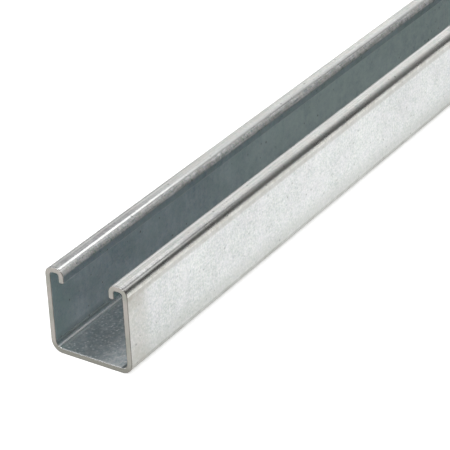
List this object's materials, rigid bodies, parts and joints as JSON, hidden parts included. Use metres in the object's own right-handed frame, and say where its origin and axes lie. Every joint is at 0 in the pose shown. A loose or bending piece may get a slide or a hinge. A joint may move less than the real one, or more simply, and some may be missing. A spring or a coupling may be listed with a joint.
{
  "type": "strut channel",
  "caption": "Length of plain roll-formed steel strut channel with in-turned lips and a continuous slot for channel nuts.",
  "frame": {"origin": "middle of the back's outer face, on the surface it lies on", "axes": "+X along the length, +Y across the slot, +Z out of the slot's mouth"},
  "size_m": [1, 0.0412, 0.0413],
  "materials": {
    "galvanised_steel": "zinc coated, satin"
  },
  "bodies": {
    "root": {"strut_channel": "galvanised_steel"}
  },
  "joints": []
}
